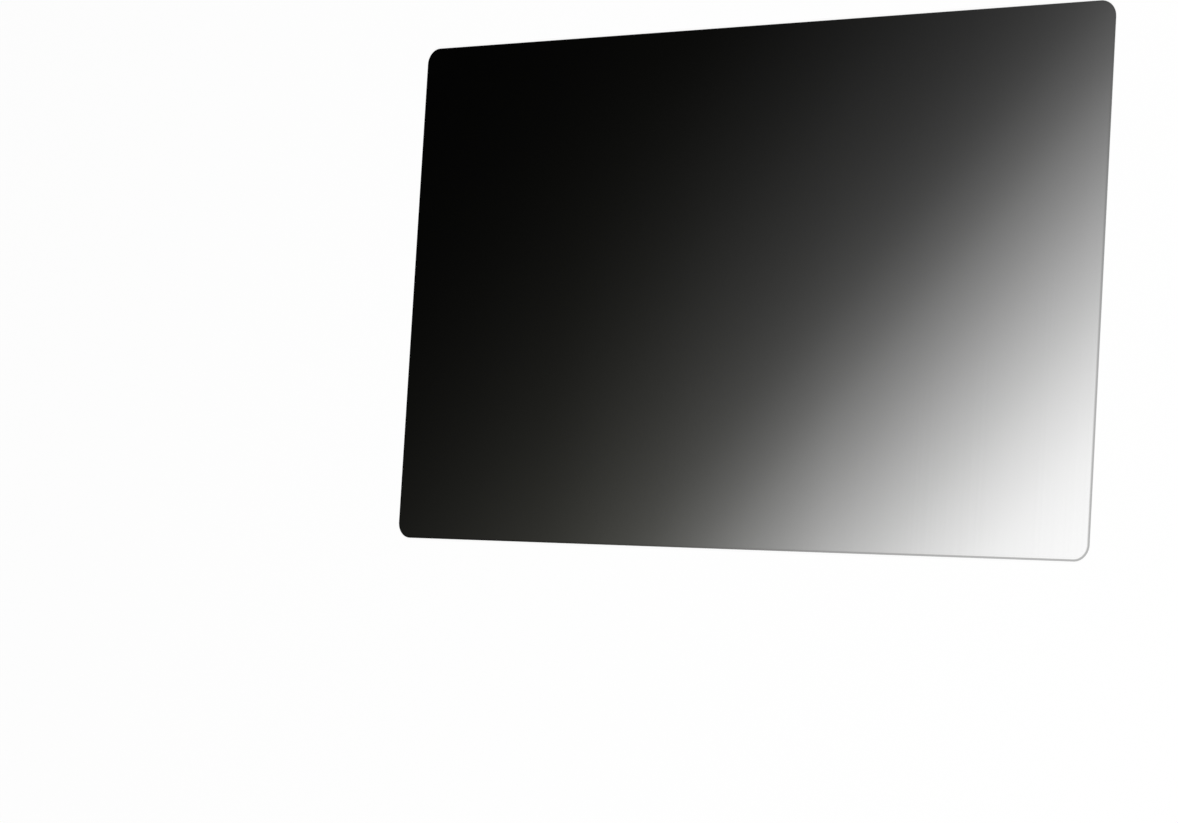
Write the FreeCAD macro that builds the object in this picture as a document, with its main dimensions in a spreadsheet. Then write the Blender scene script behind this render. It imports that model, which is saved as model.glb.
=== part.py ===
import FreeCAD, Part
import Sketcher
import math
import os

# Laptop privacy filter: one flexible plastic sheet, die-cut to the size of the screen.
# The sheet lies flat. The origin is the middle of the face that goes against the screen,
# X runs along the width, Y up the height and Z out of the face that the viewer sees.

doc = FreeCAD.newDocument("privacy_filter")

# Driving dimensions, in millimetres
dimensions = [
    ("sheet_width", 301.6, "picture width of a 14.0 inch screen of 16 to 10"),
    ("sheet_height", 188.5, "picture height of the same screen"),
    ("sheet_thickness", 0.53, "louvre film with a clear face bonded to each side"),
    ("corner_radius", 5.8, "rounded corners of the cutting die"),
    ("edge_ease", 0.06, "sharp arris taken off both faces, all round"),
]

sizes = doc.addObject("Spreadsheet::Sheet", "sizes")
for row, (alias, value, meaning) in enumerate(dimensions, start=1):
    sizes.set(f"A{row}", alias)
    sizes.set(f"B{row}", str(value))
    sizes.set(f"C{row}", meaning)
    sizes.setAlias(f"B{row}", alias)
doc.recompute()

# Ends of a sketch edge, and the sketch's own origin, as constraints name them
START, END, CENTRE = 1, 2, 3
ORIGIN = -1


def origin_plane(body, role):
    return next(plane for plane in body.Origin.OriginFeatures if plane.Role == role)


# The four straight sides and four corner arcs, drawn anticlockwise from the lower side
def outline_edges():
    side_x = sizes.sheet_width / 2
    side_y = sizes.sheet_height / 2
    radius = sizes.corner_radius
    arc_x = side_x - radius
    arc_y = side_y - radius
    quarter = math.pi / 2

    def side(from_x, from_y, to_x, to_y):
        return Part.LineSegment(FreeCAD.Vector(from_x, from_y, 0), FreeCAD.Vector(to_x, to_y, 0))

    def corner(x, y, first_angle):
        circle = Part.Circle(FreeCAD.Vector(x, y, 0), FreeCAD.Vector(0, 0, 1), radius)
        return Part.ArcOfCircle(circle, first_angle, first_angle + quarter)

    return [
        side(-arc_x, -side_y, arc_x, -side_y),
        corner(arc_x, -arc_y, 3 * quarter),
        side(side_x, -arc_y, side_x, arc_y),
        corner(arc_x, arc_y, 0),
        side(arc_x, side_y, -arc_x, side_y),
        corner(-arc_x, arc_y, quarter),
        side(-side_x, arc_y, -side_x, -arc_y),
        corner(-arc_x, -arc_y, 2 * quarter),
    ]


# Rounded rectangle, fully constrained and centred on the origin
def draw_outline(body):
    sketch = body.newObject("Sketcher::SketchObject", "outline")
    sketch.AttachmentSupport = [(origin_plane(body, "XY_Plane"), "")]
    sketch.MapMode = "FlatFace"

    edges = list(sketch.addGeometry(outline_edges(), False))
    lower, lower_right, right, upper_right, upper, upper_left, left, lower_left = edges

    for edge, following in zip(edges, edges[1:] + edges[:1]):
        sketch.addConstraint(Sketcher.Constraint("Tangent", edge, END, following, START))
    for edge in (lower, upper):
        sketch.addConstraint(Sketcher.Constraint("Horizontal", edge))
    for edge in (left, right):
        sketch.addConstraint(Sketcher.Constraint("Vertical", edge))
    for arc in (upper_right, upper_left, lower_left):
        sketch.addConstraint(Sketcher.Constraint("Equal", lower_right, arc))
    sketch.addConstraint(
        Sketcher.Constraint("Symmetric", lower_left, CENTRE, upper_right, CENTRE, ORIGIN, START))

    driven = [
        ("width", "sheet_width", ("DistanceX", left, END, right, START)),
        ("height", "sheet_height", ("DistanceY", lower, END, upper, START)),
        ("radius", "corner_radius", ("Radius", lower_right)),
    ]
    for name, alias, terms in driven:
        number = sketch.addConstraint(Sketcher.Constraint(*terms, sizes.get(alias)))
        sketch.renameConstraint(number, name)
        sketch.setExpression(f"Constraints.{name}", f"sizes.{alias}")
    doc.recompute()
    if not sketch.FullyConstrained:
        raise RuntimeError("the outline of the sheet is not fully constrained")
    return sketch


# The two large faces of the blank, found by their normals
def broad_faces(blank):
    return [
        f"Face{number}"
        for number, face in enumerate(blank.Shape.Faces, start=1)
        if abs(face.normalAt(0, 0).z) > 0.5
    ]


# Sheet: the outline cut through the full thickness, with the arris of both faces eased
def make_sheet():
    body = doc.addObject("PartDesign::Body", "filter_sheet")
    body.Label = "filter_sheet"

    blank = body.newObject("PartDesign::Pad", "blank")
    blank.Profile = draw_outline(body)
    blank.setExpression("Length", "sizes.sheet_thickness")
    doc.recompute()

    eased = body.newObject("PartDesign::Chamfer", "eased_edges")
    eased.Base = (blank, broad_faces(blank))
    eased.setExpression("Size", "sizes.edge_ease")
    doc.recompute()
    return body


pieces = [make_sheet()]

# Nothing is written unless every object is sound
failed = [item.Name for item in doc.Objects if {"Invalid", "Error"} & set(item.State)]
failed += [body.Label for body in pieces if body.Shape.isNull() or not body.Shape.isValid()]
if failed:
    raise RuntimeError("failed to build: " + ", ".join(failed))

os.makedirs("parts", exist_ok=True)
for body in pieces:
    body.Shape.exportStep(os.path.join("parts", f"{body.Label}.step"))
    box = body.Shape.BoundBox
    print(f"{body.Label}: {box.XLength:.2f} x {box.YLength:.2f} x {box.ZLength:.2f} mm,",
          f"{body.Shape.Volume:.1f} mm3, {len(body.Shape.Solids)} solid")
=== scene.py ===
import bmesh
import bpy
import math
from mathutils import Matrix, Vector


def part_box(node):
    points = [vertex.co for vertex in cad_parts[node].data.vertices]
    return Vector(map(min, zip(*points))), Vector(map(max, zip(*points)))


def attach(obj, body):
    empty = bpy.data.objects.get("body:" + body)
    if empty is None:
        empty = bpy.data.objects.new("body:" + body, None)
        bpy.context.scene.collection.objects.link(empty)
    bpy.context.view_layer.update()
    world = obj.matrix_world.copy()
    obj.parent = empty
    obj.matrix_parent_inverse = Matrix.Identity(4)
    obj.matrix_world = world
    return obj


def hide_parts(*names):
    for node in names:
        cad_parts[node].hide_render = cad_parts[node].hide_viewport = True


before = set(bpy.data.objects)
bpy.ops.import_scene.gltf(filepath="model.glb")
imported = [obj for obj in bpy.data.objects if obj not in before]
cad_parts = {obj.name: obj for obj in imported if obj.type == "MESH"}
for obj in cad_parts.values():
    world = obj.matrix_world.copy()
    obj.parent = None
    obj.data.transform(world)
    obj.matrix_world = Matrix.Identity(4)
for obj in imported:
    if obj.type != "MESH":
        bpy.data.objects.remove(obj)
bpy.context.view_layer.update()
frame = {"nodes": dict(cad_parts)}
print("frame loaded:", ", ".join(frame["nodes"]))

scene = bpy.context.scene
scene.view_settings.view_transform = "Standard"

sheetNode = "filter_sheet"
sheetLow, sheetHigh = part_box(sheetNode)
sheetSize = sheetHigh - sheetLow


def addObject(name, data):
    item = bpy.data.objects.new(name, data)
    scene.collection.objects.link(item)
    return item


# a socket takes another node's output or a plain value
def feed(socket, value):
    if isinstance(value, bpy.types.NodeSocket):
        socket.id_data.links.new(value, socket)
    else:
        socket.default_value = value


# settings are the node's own, sources go to the sockets they name, with _ for a space
def addNode(tree, kind, settings=None, **sources):
    node = tree.nodes.new(kind)
    for name, value in (settings or {}).items():
        setattr(node, name, value)
    for name, value in sources.items():
        feed(node.inputs[name.replace("_", " ")], value)
    return node


def addMath(tree, operation, *values):
    node = tree.nodes.new("ShaderNodeMath")
    node.operation = operation
    for socket, value in zip(node.inputs, values):
        feed(socket, value)
    return node.outputs[0]


def addRange(tree, value, fromLow, fromHigh, toLow=0.0, toHigh=1.0, blend="LINEAR"):
    node = addNode(tree, "ShaderNodeMapRange", {"interpolation_type": blend}, Value=value)
    for socket, limit in zip(node.inputs[1:5], (fromLow, fromHigh, toLow, toHigh)):
        socket.default_value = limit
    return node.outputs[0]


# a noise of 0 to 1 spread about a middle value
def addSpread(tree, noise, middle, spread):
    return addRange(tree, noise, 0.0, 1.0, middle - spread, middle + spread)


def addCurve(tree, value, spots):
    node = addNode(tree, "ShaderNodeFloatCurve", Value=value)
    node.mapping.extend = "HORIZONTAL"
    line = node.mapping.curves[0].points
    line[0].location = spots[0]
    line[1].location = spots[-1]
    for spot in spots[1:-1]:
        line.new(*spot)
    node.mapping.update()
    return node.outputs[0]


def addVector(tree, x, y, z):
    return addNode(tree, "ShaderNodeCombineXYZ", X=x, Y=y, Z=z).outputs[0]


def newMaterial(name):
    material = bpy.data.materials.new(name)
    material.use_nodes = True
    material.node_tree.nodes.clear()
    return material, material.node_tree


# louvre film: it clears towards the lower right corner and cuts the view off on the left.
# Places on it are shares of the sheet's width and height, lengths are in metres.
filmFacts = {
    "slant": 0.625,  # share of the width in the slope of the clearing, the rest is the height's
    # what one face lets through along that slope, and the share of it that is kept across the width
    "clearAlong": [(0.22, 0.0), (0.32, 0.055), (0.45, 0.122), (0.575, 0.212), (0.64, 0.315),
                   (0.70, 0.455), (0.81, 0.715), (0.89, 0.88), (0.94, 0.95), (1.0, 0.985)],
    "clearAcross": [(0.2, 0.0), (0.4, 0.67), (0.5, 0.88), (0.65, 1.0)],
    # painted sheen: a grey reflection painted into the colour along the lower edge, and the share of it
    # that is left at the upper edge
    "paintedSheenAcross": [(0.0, 0.0095), (0.2, 0.026), (0.4, 0.057), (0.5, 0.063), (0.8, 0.058)],
    "paintedSheenAtTop": 0.041,
    "paintedSheenTint": (1.0, 1.0, 0.88),
    # faint streaks of the louvres, which run up the sheet
    "streakPitch": 0.0011,
    "streakLength": 0.5,
    "streakDepth": 0.008,
    # satin grain of both faces
    "grainSize": 0.0009,
    "grainDepth": 0.00003,
    "grainBump": 0.5,
    "roughness": 0.24,
    "roughSpread": 0.05,
    "specular": 0.2,
}

# the cut edge shades the film where it is clear, and keeps a share of the painted sheen
rimFacts = {
    "shade": 0.31,
    "shadePower": 3.0,  # the higher this is, the less the dark part is shaded
    "paintedSheen": 0.8,
}


def makeFilm(name, edge=None):
    material, tree = newMaterial(name)
    position = addNode(tree, "ShaderNodeTexCoord").outputs["Object"]
    axes = addNode(tree, "ShaderNodeSeparateXYZ", Vector=position).outputs
    across = addRange(tree, axes["X"], sheetLow.x, sheetHigh.x)
    down = addRange(tree, axes["Y"], sheetHigh.y, sheetLow.y)

    # louvre streaks, drawn out from top to bottom
    streakScale = (1 / filmFacts["streakPitch"], 1 / filmFacts["streakLength"], 1.0)
    drawnOut = addNode(tree, "ShaderNodeMapping", Vector=position, Scale=streakScale).outputs[0]
    noise = addNode(tree, "ShaderNodeTexNoise", {"noise_dimensions": "2D"}, Vector=drawnOut, Scale=1.0)
    streak = addSpread(tree, noise.outputs[0], 1.0, filmFacts["streakDepth"])

    # see-through share of one face
    slope = addMath(tree, "MULTIPLY", across, filmFacts["slant"])
    slope = addMath(tree, "MULTIPLY_ADD", down, 1 - filmFacts["slant"], slope)
    clear = addMath(tree, "MULTIPLY", addCurve(tree, slope, filmFacts["clearAlong"]), streak)
    clear = addMath(tree, "MULTIPLY", addCurve(tree, across, filmFacts["clearAcross"]), clear)
    if edge:
        shaded = addMath(tree, "POWER", clear, edge["shadePower"])
        clear = addMath(tree, "MULTIPLY_ADD", shaded, -edge["shade"], clear)
    alpha = addMath(tree, "SUBTRACT", 1.0, clear)

    # painted sheen: a grey reflection painted into the base colour, lost towards the top
    fade = addMath(tree, "POWER", filmFacts["paintedSheenAtTop"], addMath(tree, "SUBTRACT", 1.0, down))
    paintedSheen = addMath(tree, "MULTIPLY", fade, addCurve(tree, across, filmFacts["paintedSheenAcross"]))
    if edge:
        paintedSheen = addMath(tree, "MULTIPLY", paintedSheen, edge["paintedSheen"])
    paintedSheenColour = addNode(tree, "ShaderNodeVectorMath", {"operation": "SCALE"},
                   Vector=filmFacts["paintedSheenTint"], Scale=paintedSheen)

    # fine satin grain
    grainScale = 1 / filmFacts["grainSize"]
    grain = addNode(tree, "ShaderNodeTexNoise", Vector=position, Scale=grainScale).outputs[0]
    rough = addSpread(tree, grain, filmFacts["roughness"], filmFacts["roughSpread"])
    bump = addNode(tree, "ShaderNodeBump", Strength=filmFacts["grainBump"],
                   Distance=filmFacts["grainDepth"], Height=grain)

    # the base colour is only the painted sheen, over a black film
    plastic = addNode(tree, "ShaderNodeBsdfPrincipled", Base_Color=paintedSheenColour.outputs[0], Alpha=alpha,
                      Roughness=rough, Normal=bump.outputs[0],
                      Specular_IOR_Level=filmFacts["specular"])
    addNode(tree, "ShaderNodeOutputMaterial", Surface=plastic.outputs[0])
    return material


louvreFilm = makeFilm("louvreFilm")
cutEdge = makeFilm("cutEdge", rimFacts)
print("film materials made")

# the sheet: half the thickness is swept round the outline and filled, then mirrored.
# Lengths are in metres.
sheetFacts = {
    "Width": sheetSize.x,
    "Height": sheetSize.y,
    "Thickness": sheetSize.z,
    "Corner Radius": 0.0058,
    "Corner Points": 25,
    "Rim Width": 0.0007,  # the cut dims the film this far in
    "Edge Ease": 0.00006,
    "Weld Distance": 0.000005,
    "Film": louvreFilm,
    "Rim": cutEdge,
}


def makeSheetTree():
    tree = bpy.data.node_groups.new("louvreSheet", "GeometryNodeTree")
    tree.is_modifier = True
    kinds = {
        "Corner Points": "NodeSocketInt",
        "Film": "NodeSocketMaterial",
        "Rim": "NodeSocketMaterial",
    }
    for name in sheetFacts:
        tree.interface.new_socket(name, in_out="INPUT", socket_type=kinds.get(name, "NodeSocketFloat"))
    tree.interface.new_socket("Sheet", in_out="OUTPUT", socket_type="NodeSocketGeometry")
    given = addNode(tree, "NodeGroupInput").outputs

    # outline with round corners
    outline = addNode(tree, "GeometryNodeCurvePrimitiveQuadrilateral",
                      Width=given["Width"], Height=given["Height"])
    outline = addNode(tree, "GeometryNodeFilletCurve", {"mode": "POLY"}, Curve=outline.outputs[0],
                      Count=given["Corner Points"], Radius=given["Corner Radius"])
    outline = addNode(tree, "GeometryNodeSetCurveNormal", {"mode": "Z_UP"}, Curve=outline.outputs[0])

    # section of the cut edge, from the rim's inner line down to the middle of the thickness
    half = addMath(tree, "MULTIPLY", given["Thickness"], 0.5)
    easedTop = addMath(tree, "SUBTRACT", half, given["Edge Ease"])
    inward = addMath(tree, "MULTIPLY", given["Rim Width"], -1.0)
    easedIn = addMath(tree, "MULTIPLY", given["Edge Ease"], -1.0)
    section = [(inward, half), (easedIn, half), (0.0, easedTop), (0.0, 0.0)]
    pick = addNode(tree, "GeometryNodeIndexSwitch", {"data_type": "VECTOR"})
    while len(pick.index_switch_items) < len(section):
        pick.index_switch_items.new()
    feed(pick.inputs["Index"], addNode(tree, "GeometryNodeInputIndex").outputs[0])
    for number, (out, rise) in enumerate(section):
        drop = addMath(tree, "MULTIPLY", rise, -1.0)  # the sweep turns the section over
        feed(pick.inputs[str(number)], addVector(tree, out, drop, 0.0))
    line = addNode(tree, "GeometryNodeMeshLine", Count=len(section))
    line = addNode(tree, "GeometryNodeMeshToCurve", Mesh=line.outputs[0])
    line = addNode(tree, "GeometryNodeSetPosition", Geometry=line.outputs[0], Position=pick.outputs[0])
    rim = addNode(tree, "GeometryNodeCurveToMesh", Curve=outline.outputs[0],
                  Profile_Curve=line.outputs[0])
    rim = addNode(tree, "GeometryNodeStoreNamedAttribute", {"data_type": "BOOLEAN", "domain": "FACE"},
                  Geometry=rim.outputs[0], Name="rim", Value=True)

    # face inside the rim, filled from the rim's own inner line: its upper edges with one face
    faceCount = addNode(tree, "GeometryNodeInputMeshEdgeNeighbors").outputs["Face Count"]
    lone = addMath(tree, "LESS_THAN", faceCount, 2.0)
    position = addNode(tree, "GeometryNodeInputPosition").outputs[0]
    height = addNode(tree, "ShaderNodeSeparateXYZ", Vector=position).outputs["Z"]
    above = addMath(tree, "GREATER_THAN", height, addMath(tree, "MULTIPLY", half, 0.5))
    inner = addMath(tree, "MULTIPLY", lone, above)
    loop = addNode(tree, "GeometryNodeMeshToCurve", Mesh=rim.outputs[0], Selection=inner)
    face = addNode(tree, "GeometryNodeFillCurve", {"mode": "NGONS"}, Curve=loop.outputs[0])
    raised = addVector(tree, 0.0, 0.0, half)
    face = addNode(tree, "GeometryNodeTransform", Geometry=face.outputs[0], Translation=raised)

    # both halves, welded and laid on the floor
    upper = addNode(tree, "GeometryNodeJoinGeometry", Geometry=rim.outputs[0])
    feed(upper.inputs[0], face.outputs[0])
    lower = addNode(tree, "GeometryNodeTransform", Geometry=upper.outputs[0], Scale=(1.0, 1.0, -1.0))
    lower = addNode(tree, "GeometryNodeFlipFaces", Mesh=lower.outputs[0])
    both = addNode(tree, "GeometryNodeJoinGeometry", Geometry=upper.outputs[0])
    feed(both.inputs[0], lower.outputs[0])
    welded = addNode(tree, "GeometryNodeMergeByDistance", Geometry=both.outputs[0],
                     Distance=given["Weld Distance"])
    laid = addNode(tree, "GeometryNodeTransform", Geometry=welded.outputs[0], Translation=raised)

    whole = addNode(tree, "GeometryNodeRealizeInstances", Geometry=laid.outputs[0])
    filmed = addNode(tree, "GeometryNodeSetMaterial", Geometry=whole.outputs[0], Material=given["Film"])
    onRim = addNode(tree, "GeometryNodeInputNamedAttribute", {"data_type": "BOOLEAN"}, Name="rim")
    rimmed = addNode(tree, "GeometryNodeSetMaterial", Geometry=filmed.outputs[0],
                     Selection=onRim.outputs[0], Material=given["Rim"])
    addNode(tree, "NodeGroupOutput", Sheet=rimmed.outputs[0])
    return tree


def makeSheet():
    tree = makeSheetTree()
    holder = addObject("sheetHolder", bpy.data.meshes.new("sheetHolder"))
    modifier = holder.modifiers.new("louvreSheet", "NODES")
    modifier.node_group = tree
    for item in tree.interface.items_tree:
        if item.in_out == "INPUT":
            modifier[item.identifier] = sheetFacts[item.name]
    graph = bpy.context.evaluated_depsgraph_get()
    mesh = bpy.data.meshes.new_from_object(holder.evaluated_get(graph), depsgraph=graph)
    bpy.data.objects.remove(holder)
    mesh.name = "filterSheet"
    mesh.materials.pop(index=0)  # the empty slot that Set Material leaves in front

    shell = bmesh.new()
    shell.from_mesh(mesh)
    bmesh.ops.recalc_face_normals(shell, faces=shell.faces)  # one half was mirrored
    shell.to_mesh(mesh)
    shell.free()

    creaseAngle = math.radians(30)  # the eased edges stay crisp, the corners smooth
    mesh.shade_smooth()
    mesh.set_sharp_from_angle(angle=creaseAngle)

    sheet = addObject("filterSheet", mesh)
    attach(sheet, "root")
    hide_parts(sheetNode)
    return sheet


sheetMesh = makeSheet().data
print("sheet made:", len(sheetMesh.polygons), "faces,", len(sheetMesh.materials), "materials")


# 1 for a ray that shows things to the eye, straight, mirrored or through the film,
# and 0 for one that only lights them
def addSeen(tree):
    rays = addNode(tree, "ShaderNodeLightPath").outputs
    seen = addMath(tree, "ADD", rays["Is Camera Ray"], rays["Is Glossy Ray"])
    seen = addMath(tree, "ADD", seen, rays["Is Transmission Ray"])
    return addMath(tree, "MINIMUM", seen, 1.0)


# pale floor that stays white to the eye, takes some shadow near the sheet and fades into the room
floorFacts = {
    "reach": 8.0,
    "drop": 0.0002,  # keeps it clear of the sheet's lower face
    "colour": (0.93, 0.93, 0.93, 1.0),
    "glow": 0.88,  # share of its white that no shadow dims
    "fadeStart": 0.5,
    "fadeEnd": 2.5,  # all white from here on
}


def makeFloor():
    reach = floorFacts["reach"]
    height = -floorFacts["drop"]
    corners = [(-reach, -reach, height), (reach, -reach, height),
               (reach, reach, height), (-reach, reach, height)]
    mesh = bpy.data.meshes.new("floor")
    mesh.from_pydata(corners, [], [(0, 1, 2, 3)])

    material, tree = newMaterial("paleFloor")
    position = addNode(tree, "ShaderNodeTexCoord").outputs["Object"]
    away = addNode(tree, "ShaderNodeVectorMath", {"operation": "LENGTH"}, Vector=position)
    glow = addRange(tree, away.outputs["Value"], floorFacts["fadeStart"], floorFacts["fadeEnd"],
                    floorFacts["glow"], 1.0)
    paint = addNode(tree, "ShaderNodeBsdfDiffuse", Color=floorFacts["colour"])
    white = addNode(tree, "ShaderNodeEmission")
    mixed = addNode(tree, "ShaderNodeMixShader", Fac=addMath(tree, "MULTIPLY", addSeen(tree), glow))
    feed(mixed.inputs[1], paint.outputs[0])
    feed(mixed.inputs[2], white.outputs[0])
    addNode(tree, "ShaderNodeOutputMaterial", Surface=mixed.outputs[0])
    mesh.materials.append(material)
    addObject("floor", mesh)


# room: white walls to the eye under a dark ceiling, heights are 0 when level and 1 overhead
roomFacts = {
    "white": (1.0, 1.0, 1.0, 1.0),
    "light": 0.45,  # share of what the eye sees that lights the sheet
    "ceiling": 0.02,
    "wallTop": 0.03,  # the walls darken from here up to the ceiling's edge
    "ceilingEdge": 0.16,
}


def makeRoom():
    world = bpy.data.worlds.new("studio")
    scene.world = world
    world.use_nodes = True
    tree = world.node_tree
    tree.nodes.clear()
    direction = addNode(tree, "ShaderNodeTexCoord").outputs["Generated"]
    rise = addNode(tree, "ShaderNodeSeparateXYZ", Vector=direction).outputs["Z"]
    wall = addRange(tree, rise, roomFacts["wallTop"], roomFacts["ceilingEdge"],
                    1.0, roomFacts["ceiling"], "SMOOTHSTEP")
    level = addRange(tree, addSeen(tree), 0.0, 1.0, roomFacts["light"], 1.0)
    level = addMath(tree, "MULTIPLY", wall, level)
    room = addNode(tree, "ShaderNodeBackground", Color=roomFacts["white"], Strength=level)
    addNode(tree, "ShaderNodeOutputWorld", Surface=room.outputs[0])


# soft lamps in front and behind, both aimed at the sheet
lampFacts = {
    "keyLamp": {"place": (1.2, -2.1, 2.4), "size": 2.2, "power": 115.0},
    "fillLamp": {"place": (1.2, 2.1, 2.4), "size": 2.2, "power": 68.0},
}


def makeLamps():
    for name, facts in lampFacts.items():
        light = bpy.data.lights.new(name, "AREA")
        light.size = facts["size"]
        light.energy = facts["power"]
        lamp = addObject(name, light)
        lamp.location = facts["place"]
        lamp.rotation_euler = lamp.location.to_track_quat("Z", "Y").to_euler()


# the photograph's view, with the sheet laid flat and the camera out to its right
cameraFacts = {
    "place": (0.75267, -0.13489, 1.04539),
    "turn": (6.508, 37.634, 4.318),
    "lens": 110.28,
}


def makeCamera():
    camera = addObject("camera", bpy.data.cameras.new("camera"))
    camera.data.lens = cameraFacts["lens"]
    camera.location = cameraFacts["place"]
    camera.rotation_euler = [math.radians(angle) for angle in cameraFacts["turn"]]
    scene.camera = camera


makeFloor()
makeRoom()
makeLamps()
makeCamera()
print("floor, room, lamps and camera made")
